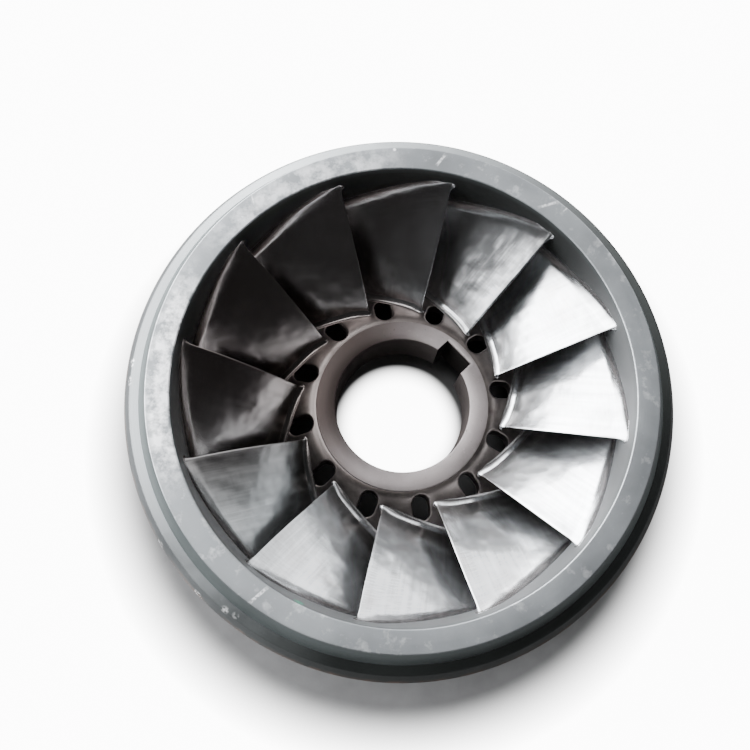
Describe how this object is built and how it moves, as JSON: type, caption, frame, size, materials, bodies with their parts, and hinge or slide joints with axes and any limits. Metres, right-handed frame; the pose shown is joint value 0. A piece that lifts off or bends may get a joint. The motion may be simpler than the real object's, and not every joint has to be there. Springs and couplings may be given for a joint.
{
  "type": "francis turbine runner",
  "caption": "Francis turbine runner: dished crown with a keyed hub bore and pressure relief holes, twisted blades, and a band with a flat outlet face and a stepped wear ring.",
  "frame": {"origin": "on the shaft axis, in the plane of the crown's back face that the runner lies on", "axes": "+Z along the shaft axis towards the outlet face, +X and +Y in the plane of the floor"},
  "size_m": [0.577, 0.577, 0.205],
  "materials": {
    "blade_steel": "polished by hand",
    "crown_steel": "ground, part polished",
    "hub_steel": "turned",
    "band_steel": "turned, satin",
    "wear_ring_steel": "turned, dull"
  },
  "bodies": {
    "root": {"crown_cone": "crown_steel", "crown_plate": "crown_steel", "crown_rim": "crown_steel", "hub_boss": "hub_steel", "crown_wear_ring": "wear_ring_steel", "band": "band_steel", "band_wear_ring": "wear_ring_steel", "blade_01": "blade_steel", "blade_02": "blade_steel", "blade_03": "blade_steel", "blade_04": "blade_steel", "blade_05": "blade_steel", "blade_06": "blade_steel", "blade_07": "blade_steel", "blade_08": "blade_steel", "blade_09": "blade_steel", "blade_10": "blade_steel", "blade_11": "blade_steel", "blade_12": "blade_steel"}
  },
  "joints": []
}
